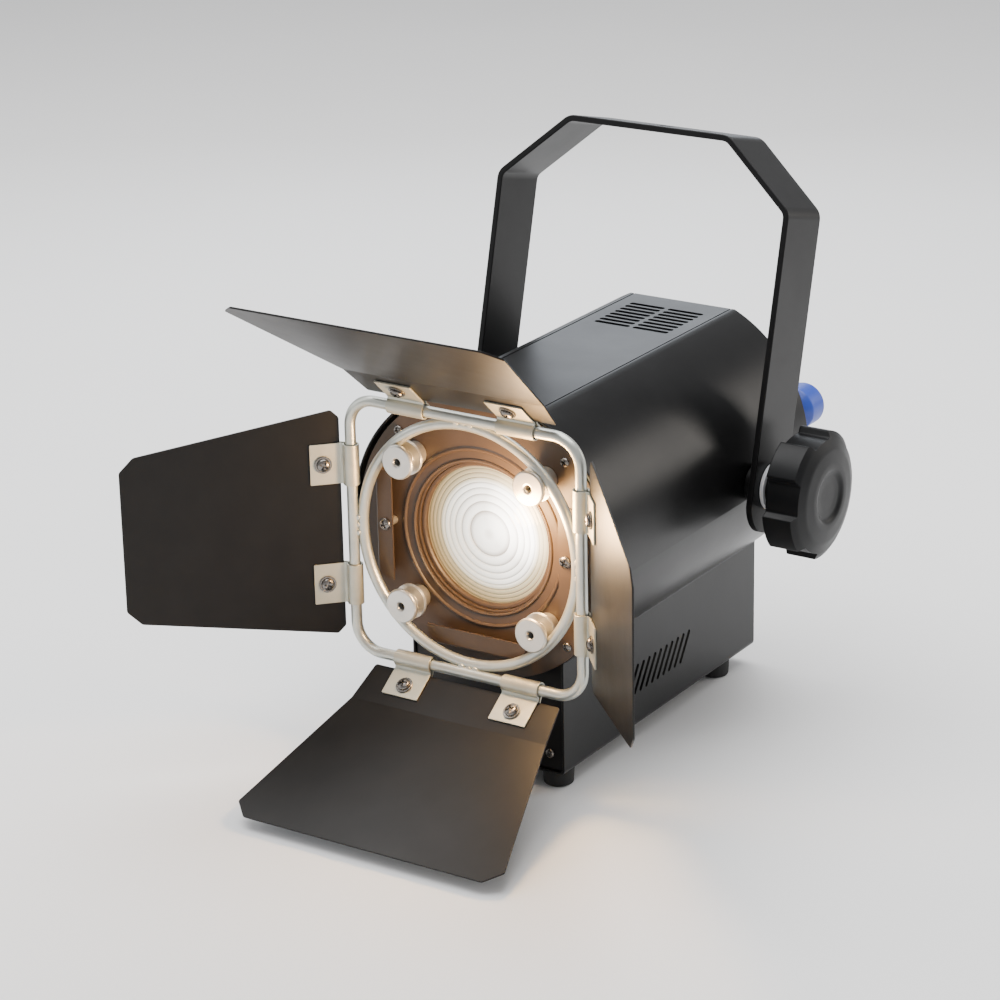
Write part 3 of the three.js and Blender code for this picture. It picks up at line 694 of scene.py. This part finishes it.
def feet():
    for name in ("foot_front_left", "foot_front_right", "foot_rear_left", "foot_rear_right"):
        low, high = span(name)
        radius, height = (high.x - low.x) / 2, high.z - low.z
        profile = [(0, 3.2), (2.4, 3.2), (3.4, 0.6), (4.6, 0), (radius - 1, 0), (radius - 0.6, 0.8),
                   (radius, height - 0.6), (radius - 0.4, height), (0, height)]
        mesh = turned(rounded(profile, 0.6), 56)
        centre = ((low.x + high.x) / 2, (low.y + high.y) / 2, low.z)
        mesh.transform(Matrix.Translation(centre) @ TO_Z)
        piece = finish_mesh(f"rubber_{name}", mesh, rubber, "housing")
        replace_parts(piece, name)


# ---- Lens ----
def lens_crest(ring):
    """Rings of equal area: each crest is where a step of the lens begins."""
    return LENS_RADIUS * math.sqrt(ring / LENS_RINGS)


def lens_parts():
    low, high = span("lens_tube")
    tube_inner, tube_outer = 47.1, 49.1
    front, rear = low.y, high.y
    step = 43.3
    profile = [(tube_inner, front), (54, front), (54, front + SHEET), (tube_outer, front + SHEET),
               (tube_outer, rear), (tube_inner - 3, rear), (tube_inner - 3, step), (tube_inner, step)]
    tube = turned(rounded_loop(profile, 0.4), 128, closed=True)
    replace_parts(finish_mesh("lens_barrel", tube, lamp_lit_coat, "housing"), "lens_tube")

    ring_low, ring_high = span("lens_retaining_ring")
    inner, outer = tube_inner - 3.2, tube_inner - GAP
    profile = [(inner, ring_low.y + 1.2), (inner + 1, ring_low.y), (outer, ring_low.y),
               (outer, ring_high.y), (inner, ring_high.y)]
    ring = turned(rounded_loop(profile, 0.35), 128, closed=True)
    piece = finish_mesh("lens_clamp_ring", ring, lamp_lit_coat, "housing")
    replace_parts(piece, "lens_retaining_ring")

    lens_low, lens_high = span("fresnel_lens")
    profile = [(0, lens_low.y)]
    for ring in range(LENS_RINGS):
        inner, outer = lens_crest(ring), lens_crest(ring + 1)
        width = outer - inner
        if ring:
            profile.append((inner + 0.25, lens_low.y + 0.05))
        profile += [(inner + width * 0.45, lens_low.y + 0.5), (inner + width * 0.8, lens_low.y + 1.2),
                    (outer, lens_low.y + 2)]
    profile += [(LENS_RADIUS, lens_high.y), (0, lens_high.y)]
    lens = turned(rounded(profile, 0.25, 2), 160)
    piece = finish_mesh("fresnel_lens_glass", lens, glass, "housing", 20)
    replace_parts(piece, "fresnel_lens")


def gel_runners():
    """A channel under, left and right of the lens, its front blade cut back at both ends."""
    half, taper, inner, web, foot_end, thickness = 36, 3, 59.8, 71, 66, 1.2
    screw_reach = 64.7
    for side, turn in (("bottom", 0), ("left", 1), ("right", -1)):
        low, high = span(f"gel_runner_{side}")
        blade, foot = low.y + thickness / 2, high.y - thickness / 2
        path = bend([(blade, -inner), (blade, -web), (foot, -web), (foot, -foot_end)], 0.9, 4)
        section = slab([strip(path, thickness)], -half, half, "x", 0.25)
        outline = [(-half - 0.4, -inner + 3), (-half, -inner), (-half + taper, -web - 3),
                   (half - taper, -web - 3), (half, -inner), (half + 0.4, -inner + 3)]
        mesh = boolean(section, [slab([outline], 0, 30, "y", 0.05, 0)], "INTERSECT")
        turned_side = Matrix.Rotation(turn * math.pi / 2, 4, "Y")
        mesh = moved(mesh, turned_side)
        piece = finish_mesh(f"colour_frame_runner_{side}", mesh, lamp_lit_coat, "housing")
        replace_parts(piece, f"gel_runner_{side}")
        if turn:
            profile = [(0, low.y + 1.4), (2.8, low.y + 1.4), (2.8, PLATE_Y), (0, PLATE_Y)]
            spacer = turned(rounded(profile, 0.2), 32)
            spacer = moved(moved(spacer, Matrix.Translation((0, 0, -screw_reach))), turned_side)
            finish_mesh(f"runner_spacer_{side}", spacer, machined, "housing")
            spot = turned_side @ Vector((0, low.y, -screw_reach))
            head = moved(screw_head(4, 2.2), facing(spot, (0, -1, 0), 24 * turn))
            finish_mesh(f"runner_screw_{side}", head, screw_steel, "housing")


def ring_spools():
    for level in ("upper", "lower"):
        for side in ("left", "right"):
            node = f"ring_spool_{level}_{side}"
            low, high = span(node)
            radius = (high.x - low.x) / 2
            front, rear = low.y, high.y
            groove, behind = front + 2.5, front + 10.1
            profile = [(2, front + 1.5), (2.6, front + 0.3), (3.4, front), (radius - 0.9, front),
                       (radius, front + 0.9), (radius, groove), (5.5, groove), (5.5, behind),
                       (radius, behind), (radius, behind + 1.1), (radius - 0.5, behind + 1.3),
                       (radius, behind + 1.5), (radius, behind + 2.5), (7.6, behind + 2.5),
                       (7.6, rear), (2, rear)]
            mesh = turned(rounded_loop(profile, 0.35), 72, closed=True)
            mesh.transform(Matrix.Translation(((low.x + high.x) / 2, 0, (low.z + high.z) / 2)))
            piece = finish_mesh(f"grooved_spool_{level}_{side}", mesh, machined, "housing")
            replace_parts(piece, node)


# ---- Rear and pivots ----
def focus_parts():
    axis = joint_place("focus_knob_turn")
    centre = Matrix.Translation((axis.x, 0, axis.z))
    low, high = span("focus_knob")
    radius, bore = (high.x - low.x) / 2, FOCUS_BORE
    profile = [(bore, low.y), (9, low.y), (10, low.y + 0.4), (radius - 0.6, low.y + 5.2),
               (radius, low.y + 6.2), (radius, high.y - 3), (radius - 2.4, high.y - 0.6),
               (radius - 4.5, high.y), (0, high.y), (0, high.y - 5.5), (bore, high.y - 5.5)]
    knob = turned(rounded([*profile, profile[0]], 0.8, 4), 96)
    knob = moved(clean(knob), centre)
    piece = finish_mesh("focus_knob_cap", knob, blue_plastic, "focus_screw")
    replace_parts(piece, "focus_knob")

    low, high = span("focus_bushing")
    profile = [(bore, low.y), (9.5, low.y), (9.5, low.y + 2.6), (8, low.y + 3.4),
               (7.6, high.y), (bore, high.y)]
    bushing = turned(rounded_loop(profile, 0.4), 72, closed=True)
    piece = finish_mesh("focus_collar", moved(bushing, centre), black_plastic, "housing")
    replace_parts(piece, "focus_bushing")


def power_inlet():
    low, high = span("power_inlet")
    middle = (low.z + high.z) / 2
    flange_front = rear_high.y + GAP
    flange = slab([rounded_bar([(-18, middle), (18, middle)], 14)], flange_front, high.y, "y", 0.5)
    plate = slab([rectangle(-15, low.z, 15, high.z, 3)], flange_front, high.y, "y", 0.5)
    shell = slab([rectangle(-13.5, middle - 10.5, 13.5, middle + 10.5, 2)], low.y, flange_front + 1, "y", 0.3)
    body = boolean(boolean(plate, [flange], "UNION"), [shell], "UNION")
    chamfer = 4
    hollow = [(-11.5, middle - 8), (11.5, middle - 8), (11.5, middle + 8 - chamfer),
              (11.5 - chamfer, middle + 8), (-11.5 + chamfer, middle + 8), (-11.5, middle + 8 - chamfer)]
    body = boolean(body, [slab([hollow], 242, high.y + 5, "y", 0.2)])
    piece = finish_mesh("mains_inlet_shell", body, black_plastic, "housing")
    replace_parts(piece, "power_inlet")
    for number, x in enumerate((-7, 0, 7)):
        pin = bevelled(box_mesh((x - 1, 241, middle - 2.5), (x + 1, 257, middle + 2.5)), 0.4)
        finish_mesh(f"mains_inlet_pin_{number + 1}", pin, machined, "housing")
    for side, x in (("left", -20.5), ("right", 20.5)):
        panel_screw(f"mains_inlet_screw_{side}", (x, high.y, middle), (0, 1, 0), 15 * x)


def safety_loop():
    low, high = span("safety_loop")
    half, radius, centre_y = 13, 2.5, low.y + 9
    bow = [(p.x, p.y) for p in arc(half, 180, 0, 6, (0, centre_y))]
    line = [(-half, low.y), (-half, low.y + 5), *bow, (half, low.y + 5), (half, low.y)]
    loop = wire([(x, y, (low.z + high.z) / 2) for x, y in line], radius)
    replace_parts(finish_mesh("safety_cable_loop", loop, bright, "housing"), "safety_loop")


YOKE_HALF, YOKE_SHEET = 106.6, 4


def pivots():
    face = YOKE_HALF + GAP
    profile = [(0, 82), (5, 82), (5, face), (13, face), (13, face + 1.8), (9.5, face + 2),
               (9.2, face + 4), (7.6, face + 6.4), (4, face + 7.4), (0, face + 7.5)]
    bolt = turned(rounded(profile, 0.4), 72)
    hexagon = slab([arc(3, 0, 300, 60)], -40, 40, "y", 0.1, 0)
    hexagon.transform(Matrix.Translation((0, face + 44, 0)))
    bolt = boolean(bolt, [hexagon])
    bolt.transform(AT_PIVOT @ Matrix.Rotation(math.pi / 2, 4, "Z"))
    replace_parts(finish_mesh("pivot_bolt_left", bolt, zinc, "housing"), "pivot_bolt")
    for side, sign in (("left", -1), ("right", 1)):
        inner_end, outer_end = 94.3, YOKE_HALF - YOKE_SHEET - GAP
        spacer = [(PIVOT_BORE, inner_end), (12, inner_end), (12, outer_end), (PIVOT_BORE, outer_end)]
        mesh = turned(rounded_loop(spacer, 0.6), 64, closed=True)
        mesh.transform(AT_PIVOT @ to_axis(sign))
        piece = finish_mesh(f"pivot_spacer_{side}", mesh, coat, "housing")
        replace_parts(piece, f"yoke_spacer_{side}")


# ---- Yoke and clamp knob ----
def yoke():
    thickness, width = YOKE_SHEET, 44.4
    half, shoulder = YOKE_HALF - thickness / 2, 171.2
    top_half, top, drop = 57.5, 214 - thickness / 2, 30
    side = [(half, -drop), (half, shoulder), (top_half, top)]
    path = bend([*side, *[(-x, z) for x, z in reversed(side)]], 3.2)
    strap = slab([strip(path, thickness)], -width / 2, width / 2, "y", 0.7, 3)
    foot = arc(width / 2, 180, 360, 5, (0, width / 2 - drop))
    outline = [*foot, Vector((width / 2, top + 20)), Vector((-width / 2, top + 20))]
    strap = boolean(strap, [slab([outline], -half - 5, half + 5, "x", 0.05, 0)], "INTERSECT")
    bore = moved(pivot_rod(40), to_axis(1))
    clamp_hole = moved(turned([(0, top - 20), (5.5, top - 20), (5.5, top + 20), (0, top + 20)], 40), TO_Z)
    strap = boolean(strap, [bore, clamp_hole])
    strap.transform(AT_PIVOT @ Matrix.Rotation(-lean, 4, "X"))
    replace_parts(finish_mesh("yoke_strap", strap, yoke_coat, "yoke", 25), "yoke")


def tilt_knob():
    low, high = span("tilt_knob")
    face, back, shoulder = high.x, 122.5, 141
    tip, root, lobes, half_width, first = 41, 36.5, 5, 18, 47.5
    pitch = 360 / lobes
    outline = []
    for lobe in range(lobes):
        middle = first + pitch * lobe
        outline += arc(tip, middle - half_width, middle + half_width, 3)
        outline += arc(root, middle + half_width + 3, middle + pitch - half_width - 3, 4)
    outline = rounded_loop([Vector((-p.x, p.y)) for p in outline], 1.2)
    star = slab([outline], back, face + 3, "x", 1.2, 3)
    front = [(0, back - 1), (tip + 2, back - 1), (tip + 2, shoulder), (tip - 3.5, shoulder + 4),
             (30, face - 1.2), (21, face), (17.2, face), (14.5, face - 1.7), (9, face - 2), (0, face - 2)]
    star = boolean(star, [moved(turned(rounded(front, 1.4, 4), 128), to_axis(1))], "INTERSECT")
    hub_face = YOKE_HALF + 3.3
    hub = [(0, 82), (5, 82), (5, hub_face), (13.2, hub_face), (14, hub_face + 0.7),
           (14, back + 1.5), (0, back + 1.5)]
    star = boolean(star, [moved(turned(rounded(hub, 0.4), 72), to_axis(1))], "UNION")
    star.transform(AT_PIVOT)
    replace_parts(finish_mesh("clamp_knob", star, black_plastic, "tilt_knob", 32), "tilt_knob")
    near, far = YOKE_HALF + GAP, YOKE_HALF + 2.8
    profile = [(PIVOT_BORE, near), (15, near), (15, far), (PIVOT_BORE, far)]
    washer = turned(rounded_loop(profile, 0.5), 72, closed=True)
    washer.transform(AT_PIVOT @ to_axis(1))
    piece = finish_mesh("clamp_washer", washer, white_plastic, "tilt_knob")
    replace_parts(piece, "knob_washer")


# ---- Barn door ----
RING_RADIUS, RING_Y, FRAME_CORNER = 76.8, 3.3, 18


def barndoor_frame():
    straight = FRAME_HALF - FRAME_CORNER
    line = []
    for corner in range(4):
        angle = 90 * corner
        centre = Vector((straight * (1, -1, -1, 1)[corner], straight * (1, 1, -1, -1)[corner]))
        line += arc(FRAME_CORNER, angle, angle + 90, 6, centre)
    square = wire([(p.x, 0, p.y) for p in line], WIRE_RADIUS, cyclic=True)
    ring = wire([(p.x, RING_Y, p.y) for p in circle(0, 0, RING_RADIUS, 2.5)], WIRE_RADIUS, cyclic=True)
    beads = []
    for quarter in range(4):
        for offset in (-5, 0, 5):
            bead = turned([(0, -2.6), (1.9, -1.9), (2.6, 0), (1.9, 1.9), (0, 2.6)], 20)
            middle = (FRAME_HALF + RING_RADIUS) / 2
            depth = RING_Y / 2 - 0.4 - 0.25 * abs(offset) / 5
            spot = Matrix.Translation((offset, depth, middle - 0.02 * offset ** 2))
            beads.append(moved(bead, Matrix.Rotation(quarter * math.pi / 2, 4, "Y") @ spot))
    whole = boolean(square, [ring], "UNION")
    whole = boolean(whole, beads, "UNION")
    piece = finish_mesh("barndoor_wire_frame", whole, bright, "barndoor")
    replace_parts(piece, "barndoor_frame")


TALL_LEAF = dict(strip=26.5, panel=105.5, fold=8.8, inner=67, middle=70.5, outer=95.5, chamfer=10)
SIDE_LEAF = dict(strip=60, panel=75.3, fold=0, inner=73, middle=64.4, outer=54, chamfer=9)
LEAVES = {
    "top": (TALL_LEAF, 0, -JOINTS["top_leaf_fold"]["range_deg"][0]),
    "right": (SIDE_LEAF, 1, JOINTS["right_leaf_fold"]["range_deg"][1]),
    "bottom": (TALL_LEAF, 2, -JOINTS["bottom_leaf_fold"]["range_deg"][0]),
    "left": (SIDE_LEAF, 3, JOINTS["left_leaf_fold"]["range_deg"][1]),
}
LEAF_EDGE, LEAF_OFFSET, LEAF_SHEET, HINGE_CHAMFER = 6, -4.8, 1.2, 5
CLIP_SPACING, CLIP_WIDTH, CLIP_SHEET, CLIP_REACH, SCREW_REACH = 39, 26, 1, 25, 17


def fold_over(mesh, start, angle, radius=3):
    """Folds what lies beyond start, along y, towards +Z about an edge along X."""
    turn = deg(angle)
    length = radius * turn
    work = bmesh.new()
    work.from_mesh(mesh)
    for step in range(4):
        cut_at = start + length * step / 3
        geometry = [*work.verts, *work.edges, *work.faces]
        bmesh.ops.bisect_plane(work, geom=geometry, plane_co=(0, cut_at, 0), plane_no=(0, 1, 0))
    for vert in work.verts:
        beyond = vert.co.y - start
        if beyond <= 0:
            continue
        bent = min(beyond, length) / radius
        rest = max(beyond - length, 0)
        height = vert.co.z - LEAF_OFFSET
        y = start + (radius - height) * math.sin(bent) + rest * math.cos(bent)
        z = LEAF_OFFSET + radius - (radius - height) * math.cos(bent) + rest * math.sin(bent)
        vert.co = (vert.co.x, y, z)
    work.to_mesh(mesh)
    work.free()
    return mesh


def leaf_mesh(leaf):
    end = LEAF_EDGE + leaf["strip"] + leaf["panel"]
    corner = HINGE_CHAMFER if leaf is SIDE_LEAF else 1
    half = [(leaf["inner"] - corner, LEAF_EDGE), (leaf["inner"], LEAF_EDGE + corner),
            (leaf["middle"], LEAF_EDGE + leaf["strip"]),
            (leaf["outer"], end - leaf["chamfer"]), (leaf["outer"] - leaf["chamfer"], end)]
    outline = [*half, *[(-x, y) for x, y in reversed(half)]]
    outline = rounded_loop([Vector(p) for p in outline], 1.2)
    holes = [circle(side * CLIP_SPACING, SCREW_REACH, 2.4, 20) for side in (-1, 1)]
    sheet = slab([outline, *holes], LEAF_OFFSET - LEAF_SHEET / 2, LEAF_OFFSET + LEAF_SHEET / 2, "z", 0.3)
    if leaf["fold"]:
        sheet = fold_over(sheet, LEAF_EDGE + leaf["strip"], leaf["fold"])
    return sheet


def clip_mesh():
    wrap = WIRE_RADIUS + 2 * GAP + CLIP_SHEET / 2
    rear_leg = LEAF_OFFSET - LEAF_SHEET / 2 - GAP - CLIP_SHEET / 2
    front_leg = LEAF_OFFSET + LEAF_SHEET / 2 + GAP + CLIP_SHEET / 2
    path = [Vector((CLIP_REACH, rear_leg)), Vector((wrap + 1, rear_leg)), *arc(wrap, -65, -385, 8),
            Vector((wrap + 1, front_leg)), Vector((CLIP_REACH, front_leg))]
    strap = slab([strip(bend(path, 0.7, 3), CLIP_SHEET)], -CLIP_WIDTH / 2, CLIP_WIDTH / 2, "x", 0.22)
    hole = turned([(0, -20), (2.4, -20), (2.4, 20), (0, 20)], 28)
    hole.transform(Matrix.Translation((0, SCREW_REACH, 0)) @ TO_Z)
    trimmed = slab([rectangle(-CLIP_WIDTH / 2 - 0.5, -10, CLIP_WIDTH / 2 + 0.5, CLIP_REACH + 0.3, 2)],
                   -12, 12, "z", 0.05, 0)
    return boolean(boolean(strap, [trimmed], "INTERSECT"), [hole])


def leaf_screw_mesh():
    face = LEAF_OFFSET + LEAF_SHEET / 2 + CLIP_SHEET + 2 * GAP
    back = LEAF_OFFSET - LEAF_SHEET / 2 - CLIP_SHEET - 2 * GAP
    head = screw_head(4.2, 2.4, 5.4)
    head.transform(Matrix.Translation((0, face, 0)))
    shank = turned([(0, back - 3.6), (1.6, back - 3.6), (1.8, back - 3), (1.8, face), (0, face)], 20)
    nut = slab([arc(3.6, 0, 300, 60)], back - 2.6, back, "y", 0.3)
    whole = merged([head, boolean(nut, [shank], "UNION")])
    whole.transform(Matrix.Translation((0, SCREW_REACH, 0)) @ TO_Z)
    return whole


def leaves():
    clip, fastener = clip_mesh(), leaf_screw_mesh()
    for side, (leaf, turns, opening) in LEAVES.items():
        hinge = (Matrix.Rotation(turns * math.pi / 2, 4, "Y") @ Matrix.Translation((0, 0, FRAME_HALF))
                 @ Matrix.Rotation(math.pi / 2 + deg(opening), 4, "X"))
        body = f"{side}_leaf"
        sheet = moved(leaf_mesh(leaf), hinge)
        sheet = finish_mesh(f"{side}_leaf_sheet", sheet, leaf_coat, body, 20)
        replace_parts(sheet, f"{side}_leaf")
        for label, x in (("a", -CLIP_SPACING), ("b", CLIP_SPACING)):
            across = hinge @ Matrix.Translation((x, 0, 0))
            strap = moved(clip.copy(), across)
            strap = finish_mesh(f"{side}_strap_clip_{label}", strap, zinc, body)
            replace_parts(strap, f"{side}_leaf_clip_{label}")
            spin = Matrix.Translation((0, SCREW_REACH, 0)) @ Matrix.Rotation(deg(37 * turns + x), 4, "Z")
            spun = across @ spin @ Matrix.Translation((0, -SCREW_REACH, 0))
            screw = moved(fastener.copy(), spun)
            screw = finish_mesh(f"{side}_clip_screw_{label}", screw, screw_steel, body)
            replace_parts(screw, f"{side}_leaf_screw_{label}")


def carried_over():
    """CAD nodes whose shape is right get their material."""
    looks = {
        "heat_sink": rough_aluminium, "carriage_plate": machined, "reflector": machined,
        "led_module": emitter, "guide_rod_left": machined, "guide_rod_right": machined,
        "led_driver": rough_aluminium, "focus_spindle": zinc, "pivot_nut_left": zinc, "pivot_nut_right": zinc,
    }
    for node, material in looks.items():
        mesh = frame["nodes"][node].data
        mesh.materials.clear()
        mesh.materials.append(material)


for make in (upper_shell, lower_body, front_plate, rear_panel, base_front_panel, feet, lens_parts,
             gel_runners, ring_spools, focus_parts, power_inlet, safety_loop, pivots, yoke, tilt_knob,
             barndoor_frame, leaves, carried_over):
    make()


# ---- Camera, floor and lights ----
def camera():
    azimuth, elevation, roll, distance, focal = 33.16, 20.21, -1.16, 1988.5, 119.25
    aside, above = 20.83, 28.62
    a, e, r = deg(azimuth), deg(elevation), deg(roll)
    back = Vector((math.sin(a) * math.cos(e), -math.cos(a) * math.cos(e), math.sin(e)))
    level = Vector((math.cos(a), math.sin(a), 0))
    up = back.cross(level)
    right, top = level * math.cos(r) + up * math.sin(r), -level * math.sin(r) + up * math.cos(r)
    target = right * aside + top * above
    data = bpy.data.cameras.new("camera")
    data.lens, data.sensor_width, data.clip_end = focal, 36, 50
    made = bpy.data.objects.new("camera", data)
    rows = Matrix((right, top, back)).transposed().to_4x4()
    made.matrix_world = Matrix.Translation(LENS_AXIS + (target + back * distance) * MM) @ rows
    bpy.context.scene.collection.objects.link(made)
    bpy.context.scene.camera = made


def floor():
    work = bmesh.new()
    bmesh.ops.create_grid(work, x_segments=1, y_segments=1, size=6)
    mesh = bpy.data.meshes.new("floor")
    work.to_mesh(mesh)
    work.free()
    made = Nodes("pale_floor")
    made.link(made.ramp(made.noise(3, 2), [(0.3, (0.86, 0.86, 0.86)), (0.7, (0.88, 0.88, 0.88))]),
              made.shader.inputs["Base Color"])
    made.set(Roughness=0.9)
    mesh.materials.append(made.material)
    piece = bpy.data.objects.new("floor", mesh)
    piece.location.z = cad_box[0][2] - 0.0005
    bpy.context.scene.collection.objects.link(piece)


def area_light(name, place_at, aim, size, watts, colour=(1, 1, 1), shape="RECTANGLE"):
    data = bpy.data.lights.new(name, "AREA")
    data.shape, data.energy, data.color = shape, watts, colour
    data.size, data.size_y = size
    made = bpy.data.objects.new(name, data)
    made.location = place_at
    made.rotation_euler = (Vector(aim) - Vector(place_at)).to_track_quat("-Z", "Y").to_euler()
    bpy.context.scene.collection.objects.link(made)


def point_light(name, place_at, radius, watts, colour):
    data = bpy.data.lights.new(name, "POINT")
    data.energy, data.color, data.shadow_soft_size = watts, colour, radius
    made = bpy.data.objects.new(name, data)
    made.location = place_at
    bpy.context.scene.collection.objects.link(made)


def lights():
    middle = LENS_AXIS + Vector((0, 0.14, 0))
    area_light("top_softbox", middle + Vector((-0.2, 0.1, 1.7)), middle, (2.2, 2.2), 75)
    area_light("left_softbox", middle + Vector((-1.7, -0.9, 0.7)), middle, (1.0, 1.4), 9)
    beside = middle + Vector((0.74, 0.86, 0.36))
    area_light("right_softbox", beside, middle, (0.4, 0.5), 2.4, (1.0, 0.94, 0.86))
    behind = middle + Vector((-0.72, 1.1, 0.48))
    area_light("rear_softbox", behind, middle, (0.9, 0.45), 3, (0.84, 0.91, 1.0))
    warm = (1.0, 0.58, 0.24)
    point_light("lamp_glow", LENS_AXIS + Vector((0.038, -0.013, 0.024)), 0.018, 1.6, warm)
    world = bpy.data.worlds.new("studio")
    bpy.context.scene.world = world
    world.use_nodes = True
    tree = world.node_tree
    background = tree.nodes["Background"]
    background.inputs["Color"].default_value = (0.6, 0.6, 0.61, 1)


camera()
floor()
lights()
